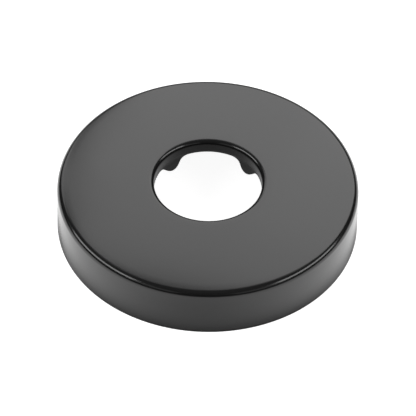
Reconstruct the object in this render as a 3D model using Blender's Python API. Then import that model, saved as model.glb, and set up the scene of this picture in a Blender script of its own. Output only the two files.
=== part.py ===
"""Shower arm flange: a drawn sheet-metal cup with a necked hole and spring fingers.

The cup stands on its open rim, as it sits against a wall lying flat. The origin is the centre of
the rim plane and +Z points out of the face, along the pipe. All lengths are in metres.
"""
import math

import bmesh
import bpy

# Cup, whose height is that of the hole's lip, the top of the domed face
OUTER_DIAMETER = 0.0635
HEIGHT = 0.0127
SHEET = 0.0006
FACE_DOME_RADIUS = 0.31
EDGE_INSIDE_RADIUS = 0.0009

# Necked hole that the pipe passes through
NECK_BORE = 0.0227
NECK_DEPTH = 0.003
LIP_INSIDE_RADIUS = 0.00045

# Spring fingers on the neck's lower edge
FINGER_COUNT = 4
FIRST_FINGER_ANGLE = math.radians(45.0)
FINGER_LENGTH = 0.0022
FINGER_STRAIGHT = 0.00015
FINGER_BEND_RADIUS = 0.0015
FINGER_LEAN = math.radians(24.0)
FINGER_TIP_RADIUS = 0.0022
FINGER_ROOT_RADIUS = 0.003
FINGER_FLANK_ANGLE = math.radians(48.0)

# Cutter that trims the neck
TRIM_ALLOWANCE = 0.0004
CUTTER_REACH = 0.0008

# Fineness of the turned and cut surfaces
TURN_SEGMENTS = 96
CUTTER_STEPS_PER_TURN_STEP = 3
EDGE_SEGMENTS = 7
DOME_SEGMENTS = 4
LIP_SEGMENTS = 6
FINGER_BEND_SEGMENTS = 3
SHARP_ANGLE = math.radians(40.0)

# Finish
COAT_COLOUR = (0.012, 0.012, 0.012, 1.0)
COAT_ROUGHNESS = 0.32


def clear_scene():
    """Remove every object that the file opened with."""
    for item in list(bpy.data.objects):
        bpy.data.objects.remove(item, do_unlink=True)


def arc(centre_r, centre_z, radius, start, end, segments):
    """Return the points of an arc in the section plane, both ends included."""
    points = []
    for step in range(segments + 1):
        angle = start + (end - start) * step / segments
        points.append((centre_r + radius * math.cos(angle), centre_z + radius * math.sin(angle)))
    return points


def finger_station(length, depth):
    """Return the section point at a length below the neck's edge and a depth into the sheet.

    The sheet goes on straight down from the neck, turns towards the axis on the finger's bend and
    then runs straight again. A depth of zero is the face towards the axis.
    """
    bend_centre_r = NECK_BORE / 2 - FINGER_BEND_RADIUS
    turned = min(max(length - FINGER_STRAIGHT, 0.0) / FINGER_BEND_RADIUS, FINGER_LEAN)
    straight_above = min(length, FINGER_STRAIGHT)
    straight_below = max(length - FINGER_STRAIGHT - turned * FINGER_BEND_RADIUS, 0.0)
    reach = FINGER_BEND_RADIUS + depth
    r = bend_centre_r + reach * math.cos(turned) - straight_below * math.sin(turned)
    z = HEIGHT - NECK_DEPTH - straight_above
    z -= reach * math.sin(turned) + straight_below * math.cos(turned)
    return r, z


def dome_centre_z():
    """Return the height of the centre of the face's dome, which the lip's bend meets smoothly."""
    lip_radius = LIP_INSIDE_RADIUS + SHEET
    reach = FACE_DOME_RADIUS - lip_radius
    return HEIGHT - lip_radius - math.sqrt(reach ** 2 - (NECK_BORE / 2 + lip_radius) ** 2)


def bend_under_dome(centre_r, radius):
    """Return the height of a bend's centre under the dome and the angle where the two meet."""
    reach = FACE_DOME_RADIUS - radius
    meeting = math.acos(centre_r / reach)
    return dome_centre_z() + reach * math.sin(meeting), meeting


def skin(depth):
    """Return the section of the sheet at a depth, from the rim to below the finger tips.

    A depth of zero is the coated face that shows, and the sheet's thickness is the hidden face.
    Both faces turn on the same bend centres, and the domed face runs smoothly into both bends.
    """
    edge_radius = EDGE_INSIDE_RADIUS + SHEET
    lip_radius = LIP_INSIDE_RADIUS + SHEET
    edge_r = OUTER_DIAMETER / 2 - edge_radius
    lip_r = NECK_BORE / 2 + lip_radius
    edge_z, edge_meeting = bend_under_dome(edge_r, edge_radius)
    lip_z, lip_meeting = bend_under_dome(lip_r, lip_radius)
    points = [(OUTER_DIAMETER / 2 - depth, 0.0)]
    points += arc(edge_r, edge_z, edge_radius - depth, 0.0, edge_meeting, EDGE_SEGMENTS)
    points += arc(0.0, dome_centre_z(), FACE_DOME_RADIUS - depth, edge_meeting, lip_meeting,
                  DOME_SEGMENTS)[1:-1]
    points += arc(lip_r, lip_z, lip_radius - depth, lip_meeting, math.pi, LIP_SEGMENTS)
    bend_length = FINGER_LEAN * FINGER_BEND_RADIUS
    for step in range(FINGER_BEND_SEGMENTS + 1):
        length = FINGER_STRAIGHT + bend_length * step / FINGER_BEND_SEGMENTS
        points.append(finger_station(length, depth))
    points.append(finger_station(FINGER_LENGTH + TRIM_ALLOWANCE, depth))
    return points


def finger_outline(distance):
    """Return how far the trimmed edge lies below the neck, at a distance from a finger's middle.

    The outline is a rounded tip, a straight flank and a hollow root that runs into the neck's
    edge. A short finger has no straight flank: its two arcs then meet at a shallower angle.
    """
    arcs = FINGER_TIP_RADIUS + FINGER_ROOT_RADIUS
    steepest = math.acos(max(1.0 - FINGER_LENGTH / arcs, -1.0))
    flank = min(FINGER_FLANK_ANGLE, steepest)
    root_rise = FINGER_ROOT_RADIUS * (1.0 - math.cos(flank))
    tip_rise = FINGER_TIP_RADIUS * (1.0 - math.cos(flank))
    tip_end = FINGER_TIP_RADIUS * math.sin(flank)
    root_start = tip_end + (FINGER_LENGTH - root_rise - tip_rise) / math.tan(flank)
    root_end = root_start + FINGER_ROOT_RADIUS * math.sin(flank)
    if distance <= tip_end:
        return FINGER_LENGTH - FINGER_TIP_RADIUS + math.sqrt(FINGER_TIP_RADIUS ** 2 - distance ** 2)
    if distance <= root_start:
        return root_rise + (root_start - distance) * math.tan(flank)
    if distance < root_end:
        return FINGER_ROOT_RADIUS - math.sqrt(FINGER_ROOT_RADIUS ** 2 - (root_end - distance) ** 2)
    return 0.0


def trimmed_length(angle):
    """Return how far below the neck the edge lies, at an angle round the axis."""
    pitch = 2 * math.pi / FINGER_COUNT
    from_middle = (angle - FIRST_FINGER_ANGLE + pitch / 2) % pitch - pitch / 2
    return finger_outline(abs(from_middle) * NECK_BORE / 2)


def spin_section(name, points, segments, start=0.0):
    """Turn a closed section about the Z axis, from a start angle, and return it as an object."""
    shape = bmesh.new()
    corners = [shape.verts.new((r * math.cos(start), r * math.sin(start), z)) for r, z in points]
    edges = [shape.edges.new((corners[i - 1], corners[i])) for i in range(len(corners))]
    bmesh.ops.spin(shape, geom=corners + edges, cent=(0, 0, 0), axis=(0, 0, 1), dvec=(0, 0, 0),
                   angle=2 * math.pi, steps=segments, use_merge=True, use_duplicate=False)
    bmesh.ops.recalc_face_normals(shape, faces=shape.faces)
    mesh = bpy.data.meshes.new(name)
    shape.to_mesh(mesh)
    shape.free()
    item = bpy.data.objects.new(name, mesh)
    bpy.context.collection.objects.link(item)
    return item


def coat_material():
    """Return the satin near-black coat."""
    material = bpy.data.materials.new("satin_black_coat")
    material.use_nodes = True
    shader = material.node_tree.nodes["Principled BSDF"]
    shader.inputs["Base Color"].default_value = COAT_COLOUR
    shader.inputs["Roughness"].default_value = COAT_ROUGHNESS
    shader.inputs["Metallic"].default_value = 0.0
    material.diffuse_color = COAT_COLOUR
    return material


def make_shell():
    """Turn the whole sheet: skirt, rounded edge, face, lip, neck and the ring for the fingers."""
    section = skin(0.0) + skin(SHEET)[::-1]
    shell = spin_section("flange_shell", section, TURN_SEGMENTS)
    shell.data.materials.append(coat_material())
    shell.data.shade_smooth()
    shell.data.set_sharp_from_angle(angle=SHARP_ANGLE)
    return shell


def make_trim_cutter():
    """Make the ring that trims the neck, its top shaped to the outline of the fingers.

    Its columns stand between those of the shell, so that no cut runs along an edge of the shell.
    """
    inner_r, lowest_z = finger_station(FINGER_LENGTH + TRIM_ALLOWANCE + CUTTER_REACH, -CUTTER_REACH)
    outer_r = NECK_BORE / 2 + SHEET + CUTTER_REACH
    section = [(outer_r, HEIGHT), (outer_r, lowest_z), (inner_r, lowest_z), (inner_r, HEIGHT)]
    segments = TURN_SEGMENTS * CUTTER_STEPS_PER_TURN_STEP
    cutter = spin_section("finger_trim_cutter", section, segments, start=math.pi / segments)
    middle_r = (inner_r + outer_r) / 2
    middle_z = (lowest_z + HEIGHT) / 2
    for vertex in cutter.data.vertices:
        x, y, z = vertex.co
        if z < middle_z:
            continue
        angle = math.atan2(y, x)
        depth = SHEET + CUTTER_REACH if math.hypot(x, y) > middle_r else -CUTTER_REACH
        r, z = finger_station(trimmed_length(angle), depth)
        vertex.co = (r * math.cos(angle), r * math.sin(angle), z)
    cutter.hide_render = True
    cutter.display_type = "WIRE"
    return cutter


def trim(item, cutter):
    """Cut the item with a live Boolean modifier."""
    cut = item.modifiers.new("finger_trim", "BOOLEAN")
    cut.operation = "DIFFERENCE"
    cut.solver = "EXACT"
    cut.object = cutter


def main():
    """Build the flange."""
    clear_scene()
    trim(make_shell(), make_trim_cutter())


main()
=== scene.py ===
import logging
import math
from dataclasses import dataclass, field
from enum import Enum
from typing import Any

import bmesh
import bpy
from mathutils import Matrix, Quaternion, Vector


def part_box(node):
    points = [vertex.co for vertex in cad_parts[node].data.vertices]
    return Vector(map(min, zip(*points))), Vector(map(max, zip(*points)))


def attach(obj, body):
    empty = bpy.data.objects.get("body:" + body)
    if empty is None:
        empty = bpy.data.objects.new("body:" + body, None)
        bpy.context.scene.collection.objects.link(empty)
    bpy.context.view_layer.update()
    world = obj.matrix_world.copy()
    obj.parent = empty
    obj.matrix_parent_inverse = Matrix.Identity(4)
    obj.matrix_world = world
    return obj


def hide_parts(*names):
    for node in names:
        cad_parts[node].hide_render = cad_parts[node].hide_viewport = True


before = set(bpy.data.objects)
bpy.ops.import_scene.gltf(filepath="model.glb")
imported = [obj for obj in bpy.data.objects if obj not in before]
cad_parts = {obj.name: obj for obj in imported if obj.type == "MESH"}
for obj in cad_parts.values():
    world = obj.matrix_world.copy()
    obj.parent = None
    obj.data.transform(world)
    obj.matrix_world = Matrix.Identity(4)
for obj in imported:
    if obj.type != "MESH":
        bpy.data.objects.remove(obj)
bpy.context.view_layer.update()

log = logging.getLogger("shower_arm_flange")

SHELL_NODE = "flange_shell"

# Bore of the neck, in metres, which the shape and the coat on the fingers share.
NECK_BORE = 0.0227

# A vertex belongs to the neck when it lies within this distance of it, in metres.
MATCH = 1e-6

WHITE = (1.0, 1.0, 1.0, 1.0)


class Face(Enum):
    """The kinds of surface on the coated sheet, in the order of their material slots."""

    SHOWN = 0
    HIDDEN = 1
    SHEARED = 2


class Sock:
    """A shader socket that can be used in Python expressions."""

    def __init__(self, kit: "NodeKit", socket: bpy.types.NodeSocket) -> None:
        self.kit = kit
        self.socket = socket

    def _math(self, operation: str, first: Any, second: Any) -> "Sock":
        """Add a Math node and return its result."""
        return self.kit.node("ShaderNodeMath", {"operation": operation}, {0: first, 1: second})

    def __add__(self, other: Any) -> "Sock":
        """Return self + other."""
        return self._math("ADD", self, other)

    def __radd__(self, other: Any) -> "Sock":
        """Return other + self."""
        return self._math("ADD", other, self)

    def __sub__(self, other: Any) -> "Sock":
        """Return self - other."""
        return self._math("SUBTRACT", self, other)

    def __rsub__(self, other: Any) -> "Sock":
        """Return other - self."""
        return self._math("SUBTRACT", other, self)

    def __mul__(self, other: Any) -> "Sock":
        """Return self * other."""
        return self._math("MULTIPLY", self, other)

    def __rmul__(self, other: Any) -> "Sock":
        """Return other * self."""
        return self._math("MULTIPLY", other, self)


class NodeKit:
    """Adds nodes to one shader tree."""

    def __init__(self, tree: bpy.types.ShaderNodeTree) -> None:
        """Empty the tree and keep it."""
        self.tree = tree
        self.tree.nodes.clear()

    def node(self, kind: str, settings: dict[str, Any] | None = None,
             inputs: dict[Any, Any] | None = None, output: Any = 0) -> Sock:
        """Add one node.

        Args:
            kind: The node's type.
            settings: Properties of the node, set before its inputs.
            inputs: Socket names or numbers, with the value or link of each.
            output: The name or number of the output that is wanted.

        Returns:
            The wanted output.
        """
        made = self.tree.nodes.new(kind)
        for name, value in (settings or {}).items():
            setattr(made, name, value)
        for name, value in (inputs or {}).items():
            if isinstance(value, Sock):
                self.tree.links.new(value.socket, made.inputs[name])
            else:
                made.inputs[name].default_value = value
        return Sock(self, made.outputs[output])

    def ramp(self, value: Sock, span: tuple[float, float], ends: tuple[float, float]) -> Sock:
        """Turn a value into a straight ramp that stays level before and after it.

        Args:
            value: The value that the ramp follows.
            span: The values at which the ramp starts and stops.
            ends: What it gives at each of them.

        Returns:
            The ramp.
        """
        return self.node("ShaderNodeMapRange", inputs={
            "Value": value, "From Min": span[0], "From Max": span[1],
            "To Min": ends[0], "To Max": ends[1]})

    def ray(self, kind: str) -> Sock:
        """Return 1 for a ray of a kind, such as Camera, and 0 for any other."""
        return self.node("ShaderNodeLightPath", output=f"Is {kind} Ray")

    def mirrored_ray(self) -> Sock:
        """Return 1 for a ray that a glossy or a clear surface sends on."""
        return self.ray("Glossy") + self.ray("Transmission")

    def surface(self, shader: Sock, output: str = "ShaderNodeOutputMaterial") -> None:
        """Make a shader the surface of the material, or of what the output's type says."""
        made = self.tree.nodes.new(output)
        self.tree.links.new(shader.socket, made.inputs["Surface"])


@dataclass(frozen=True)
class CoatFinish:
    """A satin near-black coat baked on sheet steel.

    Attributes:
        name: The material's name.
        colour: Linear grey of the coat's body.
        colour_spread: Share by which the grey drifts over the surface.
        roughness: Middle roughness of the gloss.
        roughness_spread: How far the roughness drifts over the surface.
        ior: Index of refraction of the binder.
        drift_size: Width of the clouds by which grey and gloss drift, in metres.
        drift_detail: Finer octaves in those clouds.
        grain_size: Width of one grain of the coat's texture, in metres.
        grain_detail: Finer octaves in that grain.
        grain_depth: Height of that grain, in metres.
        peel_size: Width of the coat's slow waves, in metres.
        peel_detail: Finer octaves in those waves.
        peel_depth: Height of those waves, in metres.
        octave_share: Strength of each finer octave beside the one before it.
        bore_margin: How far beyond the bore's radius the fingers' lighter, rougher coat reaches, in
            metres.
        bore_blend: Width of the ring beyond there in which the coat changes, in metres.
        finger_coat_z: Height below which the fingers' coat is lighter and rougher all through, in
            metres.
        finger_coat_blend: Height above there over which it changes, in metres.
        finger_coat_roughness: Roughness of the gloss on the fingers' coat.
        finger_coat_colour: Linear grey of the fingers' lighter coat.
    """

    name: str
    colour: float
    colour_spread: float
    roughness: float
    roughness_spread: float
    ior: float = 1.5
    drift_size: float = 0.009
    drift_detail: float = 2.0
    grain_size: float = 0.00028
    grain_detail: float = 1.5
    grain_depth: float = 0.0000006
    peel_size: float = 0.0016
    peel_detail: float = 1.0
    peel_depth: float = 0.0000012
    octave_share: float = 0.55
    bore_margin: float = 0.00002
    bore_blend: float = 0.00025
    finger_coat_z: float = 0.0096
    finger_coat_blend: float = 0.0008
    finger_coat_roughness: float = 0.55
    finger_coat_colour: float = 0.034

    def material(self) -> bpy.types.Material:
        """Build the coat's material.

        Returns:
            The new material.
        """
        material = bpy.data.materials.new(self.name)
        material.use_nodes = True
        kit = NodeKit(material.node_tree)
        place = kit.node("ShaderNodeTexCoord", output="Object")
        drift = self.noise(kit, place, self.drift_size, self.drift_detail) * 2.0 - 1.0
        grain = self.noise(kit, place, self.grain_size, self.grain_detail)
        peel = self.noise(kit, place, self.peel_size, self.peel_detail)
        # Inside the bore, below the neck, the coat turns lighter and rougher.
        finger_coat = self.finger_coat_share(kit, place)
        gloss = finger_coat * (self.finger_coat_roughness - self.roughness) + self.roughness
        roughness = drift * self.roughness_spread + gloss
        grey = finger_coat * (self.finger_coat_colour - self.colour) + self.colour
        shade = drift * (self.colour_spread * self.colour) + grey
        colour = kit.node("ShaderNodeCombineColor",
                          inputs={"Red": shade, "Green": shade, "Blue": shade})
        relief = grain * self.grain_depth + peel * self.peel_depth
        normal = kit.node("ShaderNodeBump",
                          inputs={"Strength": 1.0, "Distance": 1.0, "Height": relief})
        kit.surface(kit.node("ShaderNodeBsdfPrincipled",
                             inputs={"Base Color": colour, "Roughness": roughness,
                                     "IOR": self.ior, "Normal": normal}))
        return material

    def finger_coat_share(self, kit: NodeKit, place: Sock) -> Sock:
        """Find the fingers inside the bore, which get a lighter, rougher coat.

        Args:
            kit: The tree to add it to.
            place: The place on the part.

        Returns:
            The share of the fingers' lighter, rougher coat there, from 0 to 1.
        """
        flat = kit.node("ShaderNodeVectorMath", {"operation": "MULTIPLY"},
                        {0: place, 1: (1.0, 1.0, 0.0)})
        from_axis = kit.node("ShaderNodeVectorMath", {"operation": "LENGTH"}, {0: flat}, "Value")
        height = kit.node("ShaderNodeSeparateXYZ", inputs={0: place}, output="Z")
        bore_r = NECK_BORE / 2 + self.bore_margin
        inside = kit.ramp(from_axis, (bore_r, bore_r + self.bore_blend), (1.0, 0.0))
        return inside * kit.ramp(height, (self.finger_coat_z, self.finger_coat_z + self.finger_coat_blend), (1.0, 0.0))

    def noise(self, kit: NodeKit, place: Sock, size: float, detail: float) -> Sock:
        """Add a noise.

        Args:
            kit: The tree to add it to.
            place: The coordinates that it varies over.
            size: Width of its grains, in metres.
            detail: How many finer octaves it has.

        Returns:
            Its value, from 0 to 1.
        """
        return kit.node("ShaderNodeTexNoise", {"noise_dimensions": "3D"},
                        {"Vector": place, "Scale": 1.0 / size, "Detail": detail,
                         "Roughness": self.octave_share})


COATS = {
    Face.SHOWN: CoatFinish("coat_shown", colour=0.0065, colour_spread=0.10, roughness=0.17,
                           roughness_spread=0.012, ior=1.45),
    Face.HIDDEN: CoatFinish("coat_hidden", colour=0.010, colour_spread=0.20, roughness=0.46,
                            roughness_spread=0.03, grain_size=0.00035, grain_depth=0.000003,
                            peel_size=0.0020, peel_depth=0.000003),
    Face.SHEARED: CoatFinish("coat_sheared", colour=0.009, colour_spread=0.20, roughness=0.42,
                             roughness_spread=0.03, grain_size=0.00025, grain_depth=0.000002,
                             peel_size=0.0010, peel_depth=0.000002),
}


@dataclass(frozen=True)
class SpringFingers:
    """The fingers on the neck's lower edge, which grip the pipe.

    Attributes:
        count: How many fingers stand round the neck.
        first_angle: Where the first one stands, in radians.
        length: How far a finger's tip lies below the neck, along the sheet.
        straight: How far the sheet goes on straight before it bends.
        bend_radius: Radius of the bend on the bore's side.
        lean: How far a finger leans towards the axis, in radians.
        tip_radius: Radius of its rounded tip.
        root_radius: Radius of the hollow that joins it to the neck's edge.
        flank: Steepest slope of its sides, in radians.
    """

    count: int = 4
    first_angle: float = math.radians(45.0)
    length: float = 0.0022
    straight: float = 0.00015
    bend_radius: float = 0.0015
    lean: float = math.radians(24.0)
    tip_radius: float = 0.0022
    root_radius: float = 0.003
    flank: float = math.radians(48.0)

    def outline(self, distance: float) -> float:
        """Find the sheared edge beside a finger's middle.

        Args:
            distance: Distance from the middle, round the bore.

        Returns:
            How far the edge lies below the neck.
        """
        rise = 1.0 - math.cos(self.flank)
        tip_end = self.tip_radius * math.sin(self.flank)
        straight_drop = self.length - (self.tip_radius + self.root_radius) * rise
        root_start = tip_end + straight_drop / math.tan(self.flank)
        root_end = root_start + self.root_radius * math.sin(self.flank)
        if distance <= tip_end:
            return self.length - self.tip_radius + math.sqrt(self.tip_radius ** 2 - distance ** 2)
        if distance <= root_start:
            return self.root_radius * rise + (root_start - distance) * math.tan(self.flank)
        if distance < root_end:
            return self.root_radius - math.sqrt(self.root_radius ** 2 - (root_end - distance) ** 2)
        return 0.0

    def edge_below(self, angle: float, bore_r: float) -> float:
        """Find the sheared edge at an angle round the neck.

        Args:
            angle: The angle round the axis, in radians.
            bore_r: Radius of the neck's bore.

        Returns:
            How far the edge lies below the neck.
        """
        pitch = 2 * math.pi / self.count
        off_middle = (angle - self.first_angle + pitch / 2) % pitch - pitch / 2
        return self.outline(abs(off_middle) * bore_r)

    def station(self, length: float) -> tuple[float, float]:
        """Follow the bent sheet down from the neck's edge.

        Args:
            length: How far to go along the sheet. A negative length goes up the neck.

        Returns:
            How far the bore's face has moved towards the axis, and how far down.
        """
        turned = min(max(length - self.straight, 0.0) / self.bend_radius, self.lean)
        above = min(length, self.straight)
        below = max(length - self.straight - turned * self.bend_radius, 0.0)
        inward = self.bend_radius * (1.0 - math.cos(turned)) + below * math.sin(turned)
        down = above + self.bend_radius * math.sin(turned) + below * math.cos(turned)
        return inward, down


@dataclass
class FlangeShell:
    """The whole flange: one drawn and pierced sheet, dressed in its coat.

    Attributes:
        low: Lowest corner of the CAD solid.
        high: Highest corner of the CAD solid.
        sheet: Thickness of the coated sheet.
        dome_radius: Radius of the slightly domed face.
        edge_radius: Outside radius of the bend between face and skirt.
        neck_bore: Bore of the neck.
        neck_depth: Depth of the neck's lower edge below the lip's top.
        lip_radius: Outside radius of the lip that turns down into the neck.
        fingers: The spring fingers on the neck's lower edge.
        columns: Steps round the axis.
        edge_steps: Steps over the rounded edge.
        dome_steps: Steps across the face.
        lip_steps: Steps over the lip.
        neck_rows: Steps down the neck and its fingers.
        shear_round: Width of the rounding on sheared edges.
        shear_steps: Steps over that rounding.
        shear_angle: Smallest angle that counts as a sheared edge.
    """

    low: Vector
    high: Vector
    sheet: float = 0.0006
    dome_radius: float = 0.31
    edge_radius: float = 0.0015
    neck_bore: float = NECK_BORE
    neck_depth: float = 0.003
    lip_radius: float = 0.00105
    fingers: SpringFingers = field(default_factory=SpringFingers)
    columns: int = 384
    edge_steps: int = 20
    dome_steps: int = 12
    lip_steps: int = 14
    neck_rows: int = 18
    shear_round: float = 0.00007
    shear_steps: int = 3
    shear_angle: float = math.radians(50.0)

    @property
    def outer_r(self) -> float:
        """Outside radius of the skirt."""
        return (self.high.x - self.low.x) / 2

    @property
    def neck_r(self) -> float:
        """Radius of the neck's bore."""
        return self.neck_bore / 2

    @property
    def lip_low_z(self) -> float:
        """Height at which the lip ends and the neck starts."""
        return self.high.z - self.lip_radius

    @property
    def neck_low_z(self) -> float:
        """Height of the neck's lower edge."""
        return self.high.z - self.neck_depth

    @property
    def dome_centre_z(self) -> float:
        """Height of the centre of the face's dome, which the lip's bend meets smoothly."""
        reach = self.dome_radius - self.lip_radius
        return self.lip_low_z - math.sqrt(reach ** 2 - (self.neck_r + self.lip_radius) ** 2)

    def bend_under_dome(self, centre_r: float, radius: float) -> tuple[float, float]:
        """Fit a bend under the domed face.

        Args:
            centre_r: Distance of the bend's centre from the axis.
            radius: Outside radius of the bend.

        Returns:
            The height of the bend's centre, and the angle where bend and face meet.
        """
        reach = self.dome_radius - radius
        meeting = math.acos(centre_r / reach)
        return self.dome_centre_z + reach * math.sin(meeting), meeting

    @staticmethod
    def arc(centre: tuple[float, float], radius: float, span: tuple[float, float],
            steps: int) -> list[tuple[float, float]]:
        """Lay points along an arc of the section.

        Args:
            centre: Distance from the axis, and height.
            radius: Radius of the arc.
            span: First and last angle, in radians from the outward direction.
            steps: How many steps the arc takes.

        Returns:
            The points, both ends included.
        """
        angles = [span[0] + (span[1] - span[0]) * step / steps for step in range(steps + 1)]
        return [(centre[0] + radius * math.cos(angle), centre[1] + radius * math.sin(angle))
                for angle in angles]

    def section(self) -> list[tuple[float, float]]:
        """Draw the shown face's section.

        Returns:
            Its points, from the rim to the neck's lower edge.
        """
        edge_r = self.outer_r - self.edge_radius
        lip_r = self.neck_r + self.lip_radius
        edge_z, edge_meeting = self.bend_under_dome(edge_r, self.edge_radius)
        lip_z, lip_meeting = self.bend_under_dome(lip_r, self.lip_radius)
        points = [(self.outer_r, self.low.z)]
        points += self.arc((edge_r, edge_z), self.edge_radius, (0.0, edge_meeting), self.edge_steps)
        points += self.arc((0.0, self.dome_centre_z), self.dome_radius, (edge_meeting, lip_meeting),
                           self.dome_steps)[1:-1]
        points += self.arc((lip_r, lip_z), self.lip_radius, (lip_meeting, math.pi), self.lip_steps)
        for row in range(1, self.neck_rows + 1):
            drop = (self.lip_low_z - self.neck_low_z) * row / self.neck_rows
            points.append((self.neck_r, self.lip_low_z - drop))
        return points

    def turned_sheet(self) -> bmesh.types.BMesh:
        """Turn the section about the axis.

        Returns:
            The shown face of the sheet, with a straight neck, as an open surface.
        """
        shape = bmesh.new()
        path = [shape.verts.new((r, 0.0, z)) for r, z in self.section()]
        edges = [shape.edges.new(pair) for pair in zip(path, path[1:])]
        bmesh.ops.spin(shape, geom=path + edges, cent=(0, 0, 0), axis=(0, 0, 1), dvec=(0, 0, 0),
                       angle=2 * math.pi, steps=self.columns, use_merge=True, use_duplicate=False)
        return shape

    def draw_fingers(self, shape: bmesh.types.BMesh) -> None:
        """Stretch the neck's rows down to the sheared outline and bend the fingers inwards.

        Args:
            shape: The turned sheet, whose straight neck is reshaped.
        """
        neck_top = self.neck_low_z - self.lip_low_z
        for vert in shape.verts:
            x, y, z = vert.co
            if math.hypot(x, y) > self.neck_r + MATCH or z > self.lip_low_z + MATCH:
                continue
            angle = math.atan2(y, x)
            share = (z - self.lip_low_z) / neck_top
            reach = self.fingers.edge_below(angle, self.neck_r) - neck_top
            inward, down = self.fingers.station(neck_top + reach * share)
            r = self.neck_r - inward
            vert.co = (r * math.cos(angle), r * math.sin(angle), self.neck_low_z - down)

    def thicken(self, piece: bpy.types.Object) -> None:
        """Give the sheet its thickness and round its sheared edges.

        Args:
            piece: The piece whose mesh is the shown face of the sheet.
        """
        wall = piece.modifiers.new("sheet", "SOLIDIFY")
        wall.thickness = self.sheet
        wall.offset = -1.0
        wall.use_even_offset = True
        wall.use_rim = True
        wall.material_offset = Face.HIDDEN.value
        wall.material_offset_rim = Face.SHEARED.value
        rounding = piece.modifiers.new("sheared_edges", "BEVEL")
        rounding.width = self.shear_round
        rounding.segments = self.shear_steps
        rounding.limit_method = "ANGLE"
        rounding.angle_limit = self.shear_angle

    def build(self) -> bpy.types.Object:
        """Model and dress the shell.

        Returns:
            The finished piece.
        """
        shape = self.turned_sheet()
        self.draw_fingers(shape)
        bmesh.ops.recalc_face_normals(shape, faces=shape.faces)
        mesh = bpy.data.meshes.new("flange_coated")
        shape.to_mesh(mesh)
        shape.free()
        mesh.shade_smooth()
        for face in Face:
            mesh.materials.append(COATS[face].material())
        piece = bpy.data.objects.new("flange_coated", mesh)
        bpy.context.scene.collection.objects.link(piece)
        self.thicken(piece)
        return piece


@dataclass(frozen=True)
class Lamp:
    """A soft rectangular lamp.

    Attributes:
        name: The lamp's name.
        azimuth: Where it stands, in degrees to the right of straight behind the object.
        elevation: Degrees above the table.
        distance: Metres from the object.
        width: Metres across.
        height: Metres up its face.
        radiance: Brightness of its face, where 1 is a white card at the plain level.
        tilt: Degrees by which its left end is raised, as the object sees it.
    """

    name: str
    azimuth: float
    elevation: float
    distance: float
    width: float
    height: float
    radiance: float
    tilt: float = 0.0

    def build(self, target: Vector, view_azimuth: float) -> None:
        """Stand the lamp up with its face to the target.

        Args:
            target: The point that the lamp faces.
            view_azimuth: How far the camera's view is turned, in radians.
        """
        turn = math.radians(self.azimuth) - view_azimuth
        rise = math.radians(self.elevation)
        level = math.cos(rise)
        way = Vector((math.sin(turn) * level, math.cos(turn) * level, math.sin(rise)))
        data = bpy.data.lights.new(self.name, "AREA")
        data.shape = "RECTANGLE"
        data.size = self.width
        data.size_y = self.height
        data.energy = self.radiance * math.pi * self.width * self.height
        lamp = bpy.data.objects.new(self.name, data)
        bpy.context.scene.collection.objects.link(lamp)
        lamp.location = target + way * self.distance
        lamp.rotation_mode = "QUATERNION"
        facing = way.to_track_quat("Z", "Y")
        lamp.rotation_quaternion = facing @ Quaternion((0.0, 0.0, 1.0), math.radians(self.tilt))


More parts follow.
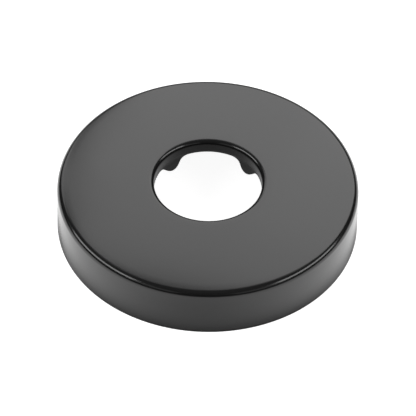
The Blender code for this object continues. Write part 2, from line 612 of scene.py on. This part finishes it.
@dataclass(frozen=True)
class Table:
    """The plain white table under the object.

    Attributes:
        covered: Radius that the object covers, in metres.
        radius: Metres from the table's middle to its edge.
        sides: How many sides its round outline has.
        glow_seen: Brightness of its own that the camera sees.
        glow_mirrored: Brightness of its own that shows in reflections, away from the object.
        painted_shade_under_share: Share of the mirrored glow that is left under the object, as
            painted shade.
        passage_share: Share that light through the hole gives back, behind the hole's middle.
        passage_behind: How far behind the middle that light falls, in metres.
        passage_size: How far from there it takes to die away, in metres.
        painted_contact_shadow_depth: Share of it that goes where the object touches the table, as a
            painted contact shadow.
        painted_contact_shadow_fade: How far from that line the glow takes to come back from that
            painted shadow, in metres.
        painted_front_shadow_depth: Share of it that goes in front of the object, as a painted
            shadow.
        painted_front_shadow_size: How far from the object's front the glow takes to come back from
            that painted shadow, in metres.
        near_start: How far from the middle towards the camera the glow starts to fail, in metres.
        near_end: How far that way it has died away, in metres.
        card: Grey of its surface, which takes the lamps' light and the object's shadow.
    """

    covered: float
    radius: float = 3.0
    sides: int = 96
    glow_seen: float = 0.93
    glow_mirrored: float = 1.37
    painted_shade_under_share: float = 0.16
    passage_share: float = 0.22
    passage_behind: float = 0.012
    passage_size: float = 0.0085
    painted_contact_shadow_depth: float = 0.95
    painted_contact_shadow_fade: float = 0.0016
    painted_front_shadow_depth: float = 0.48
    painted_front_shadow_size: float = 0.02
    near_start: float = 0.045
    near_end: float = 0.15
    card: float = 0.6

    def build(self) -> None:
        """Lay the table."""
        shape = bmesh.new()
        bmesh.ops.create_circle(shape, cap_ends=True, radius=self.radius, segments=self.sides)
        mesh = bpy.data.meshes.new("table")
        shape.to_mesh(mesh)
        shape.free()
        mesh.materials.append(self.material())
        top = bpy.data.objects.new("table", mesh)
        bpy.context.scene.collection.objects.link(top)

    def mirrored(self, kit: NodeKit) -> Sock:
        """Find the glow that shows in reflections, with painted shade where the object stands, a
        painted contact shadow along its rim, a painted shadow in front of it and a painted pool of
        light through the hole.

        Args:
            kit: The tree to add it to.

        Returns:
            Its brightness.
        """
        place = kit.node("ShaderNodeTexCoord", output="Object")
        from_middle = self.distance(kit, place, (0.0, 0.0, 0.0))
        # Painted shade: the mirrored glow is dimmed under the object.
        under = kit.node("ShaderNodeMath", {"operation": "LESS_THAN"},
                         {0: from_middle, 1: self.covered})
        # Painted contact shadow: the mirrored glow darkens along the line where the object touches
        # the table.
        off_rim = kit.node("ShaderNodeMath", {"operation": "ABSOLUTE"},
                           {0: from_middle - self.covered})
        contact = self.fade(kit, off_rim * (-1.0 / self.painted_contact_shadow_fade))
        # Painted shadow of the object, cast towards the camera in the mirrored glow.
        front = self.bell(kit, place, (0.0, -self.covered, 0.0), self.painted_front_shadow_size)
        # Painted pool of light through the hole, which lifts part of the painted shade under the
        # object.
        passage = self.bell(kit, place, (0.0, self.passage_behind, 0.0), self.passage_size)
        share = passage * self.passage_share + self.painted_shade_under_share
        lit = (1.0 - under * (1.0 - share)) * (1.0 - contact * self.painted_contact_shadow_depth)
        ahead = kit.node("ShaderNodeSeparateXYZ", inputs={0: place}, output="Y")
        near = kit.ramp(ahead, (-self.near_end, -self.near_start), (0.0, 1.0))
        return lit * near * (1.0 - front * self.painted_front_shadow_depth) * self.glow_mirrored

    def bell(self, kit: NodeKit, place: Sock, point: tuple[float, float, float],
             size: float) -> Sock:
        """Find how near a place is to a point.

        Args:
            kit: The tree to add it to.
            place: The place.
            point: The point.
            size: How far from the point the result has fallen to 0.37, in metres.

        Returns:
            1 at the point, dying away round it like a bell.
        """
        off = self.distance(kit, place, point) * (1.0 / size)
        return self.fade(kit, off * off * -1.0)

    @staticmethod
    def distance(kit: NodeKit, place: Sock, point: tuple[float, float, float]) -> Sock:
        """Return how far a place is from a point."""
        return kit.node("ShaderNodeVectorMath", {"operation": "DISTANCE"},
                        {0: place, 1: point}, "Value")

    @staticmethod
    def fade(kit: NodeKit, power: Sock) -> Sock:
        """Return e raised to a power."""
        return kit.node("ShaderNodeMath", {"operation": "EXPONENT"}, {0: power})

    def material(self) -> bpy.types.Material:
        """Make the table's white: a card with a glow of its own.

        Returns:
            The new material.
        """
        material = bpy.data.materials.new("table")
        material.use_nodes = True
        kit = NodeKit(material.node_tree)
        strength = kit.ray("Camera") * self.glow_seen + kit.mirrored_ray() * self.mirrored(kit)
        glow = kit.node("ShaderNodeEmission", inputs={"Color": WHITE, "Strength": strength})
        grey = (self.card, self.card, self.card, 1.0)
        card = kit.node("ShaderNodeBsdfDiffuse", inputs={"Color": grey})
        kit.surface(kit.node("ShaderNodeAddShader", inputs={0: glow, 1: card}))
        return material


@dataclass(frozen=True)
class PhotoCamera:
    """The camera, standing where the photograph was taken from.

    Attributes:
        azimuth: How far the view is turned about the object, in radians.
        elevation: How far the camera looks down, in radians.
        roll: How far the picture is turned about its middle, in radians.
        distance: Metres from the point it looks at.
        scale: Pixels that a metre takes at a metre's distance.
        image_width: Pixels across the picture.
        sensor: Width of the sensor, in millimetres.
        aim_right: How far the point it looks at lies right of the axis, in metres.
        aim_ahead: How far that point lies behind the axis, in metres.
    """

    azimuth: float = math.radians(1.95)
    elevation: float = math.radians(45.872)
    roll: float = math.radians(-1.071)
    distance: float = 1.0
    scale: float = 4786.0
    image_width: float = 416.0
    sensor: float = 36.0
    aim_right: float = 0.0001
    aim_ahead: float = -0.008176

    def build(self, height: float) -> None:
        """Set the camera up.

        Args:
            height: Height of the plane in which the aim lies.
        """
        right = Vector((math.cos(self.azimuth), math.sin(self.azimuth), 0.0))
        ahead = Vector((-math.sin(self.azimuth), math.cos(self.azimuth), 0.0))
        target = right * self.aim_right + ahead * self.aim_ahead + Vector((0.0, 0.0, height))
        back = Vector((0.0, 0.0, math.sin(self.elevation))) - ahead * math.cos(self.elevation)
        data = bpy.data.cameras.new("camera")
        data.sensor_width = self.sensor
        data.lens = self.scale * self.distance * self.sensor / self.image_width
        camera = bpy.data.objects.new("camera", data)
        bpy.context.scene.collection.objects.link(camera)
        camera.location = target + back * self.distance
        camera.rotation_mode = "QUATERNION"
        facing = back.to_track_quat("Z", "Y")
        camera.rotation_quaternion = facing @ Quaternion((0.0, 0.0, 1.0), -self.roll)
        bpy.context.scene.camera = camera


@dataclass(frozen=True)
class Room:
    """The even light that fills the room, and its white backdrop.

    Attributes:
        grey_low: Brightness of the room at the horizon.
        grey_high: Brightness of the room overhead.
        backdrop: Height of the backdrop that shows in reflections, as the sine of its elevation.
    """

    grey_low: float = 0.02
    grey_high: float = 0.20
    backdrop: float = 0.03

    def build(self) -> None:
        """Light the room: white to the camera and low in reflections, and grey elsewhere."""
        world = bpy.data.worlds.new("room")
        bpy.context.scene.world = world
        world.use_nodes = True
        kit = NodeKit(world.node_tree)
        way = kit.node("ShaderNodeTexCoord", output="Generated")
        rise = kit.node("ShaderNodeSeparateXYZ", inputs={0: way}, output="Z")
        low = kit.ramp(rise, (0.0, self.backdrop), (1.0, 0.0))
        grey = kit.ramp(rise, (0.0, 1.0), (self.grey_low, self.grey_high))
        white = kit.ray("Camera") + kit.mirrored_ray() * low
        strength = white * (1.0 - grey) + grey
        sky = kit.node("ShaderNodeBackground", inputs={"Color": WHITE, "Strength": strength})
        kit.surface(sky, "ShaderNodeOutputWorld")


@dataclass
class Studio:
    """The table, the lamps, the room and the camera.

    Attributes:
        table: The table.
        camera: The camera.
        room: The room.
        lamps: The lamps.
    """

    table: Table
    camera: PhotoCamera = field(default_factory=PhotoCamera)
    room: Room = field(default_factory=Room)
    lamps: tuple[Lamp, ...] = (
        Lamp("back_bank", azimuth=16.4, elevation=44.6, distance=0.80,
             width=0.643, height=0.492, radiance=2.78, tilt=-1.5),
        Lamp("back_right", azimuth=27.0, elevation=40.0, distance=0.75,
             width=0.374, height=0.374, radiance=0.25),
        Lamp("back_left", azimuth=-29.0, elevation=34.0, distance=0.80,
             width=0.271, height=0.346, radiance=1.90),
        Lamp("back_left_fill", azimuth=-17.0, elevation=36.0, distance=0.80,
             width=0.140, height=0.196, radiance=0.65),
        Lamp("top_fill", azimuth=5.0, elevation=69.0, distance=0.80,
             width=0.646, height=0.196, radiance=0.75),
        Lamp("right_side", azimuth=103.0, elevation=34.5, distance=0.70,
             width=0.537, height=0.197, radiance=5.60, tilt=-12.0),
        Lamp("left_side", azimuth=-99.5, elevation=34.5, distance=0.70,
             width=0.594, height=0.197, radiance=5.80, tilt=14.5),
        Lamp("right_spill", azimuth=142.0, elevation=28.0, distance=0.70,
             width=0.428, height=0.222, radiance=0.55),
        Lamp("left_spill", azimuth=-140.0, elevation=30.0, distance=0.70,
             width=0.428, height=0.222, radiance=0.55),
    )

    def build(self, height: float) -> None:
        """Set the studio up.

        Args:
            height: Height of the object.
        """
        self.table.build()
        self.room.build()
        self.camera.build(height)
        for lamp in self.lamps:
            lamp.build(Vector((0.0, 0.0, height / 2)), self.camera.azimuth)
            log.info("lamp %s", lamp.name)


def main() -> None:
    """Build the flange and its studio."""
    logging.basicConfig(level=logging.INFO, format="%(message)s")
    low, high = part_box(SHELL_NODE)
    piece = FlangeShell(low, high).build()
    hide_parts(SHELL_NODE)
    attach(piece, "root")
    log.info("piece %s", piece.name)
    Studio(Table(covered=high.x)).build(high.z)
    bpy.context.scene.view_settings.view_transform = "Standard"


if __name__ == "__main__":
    main()
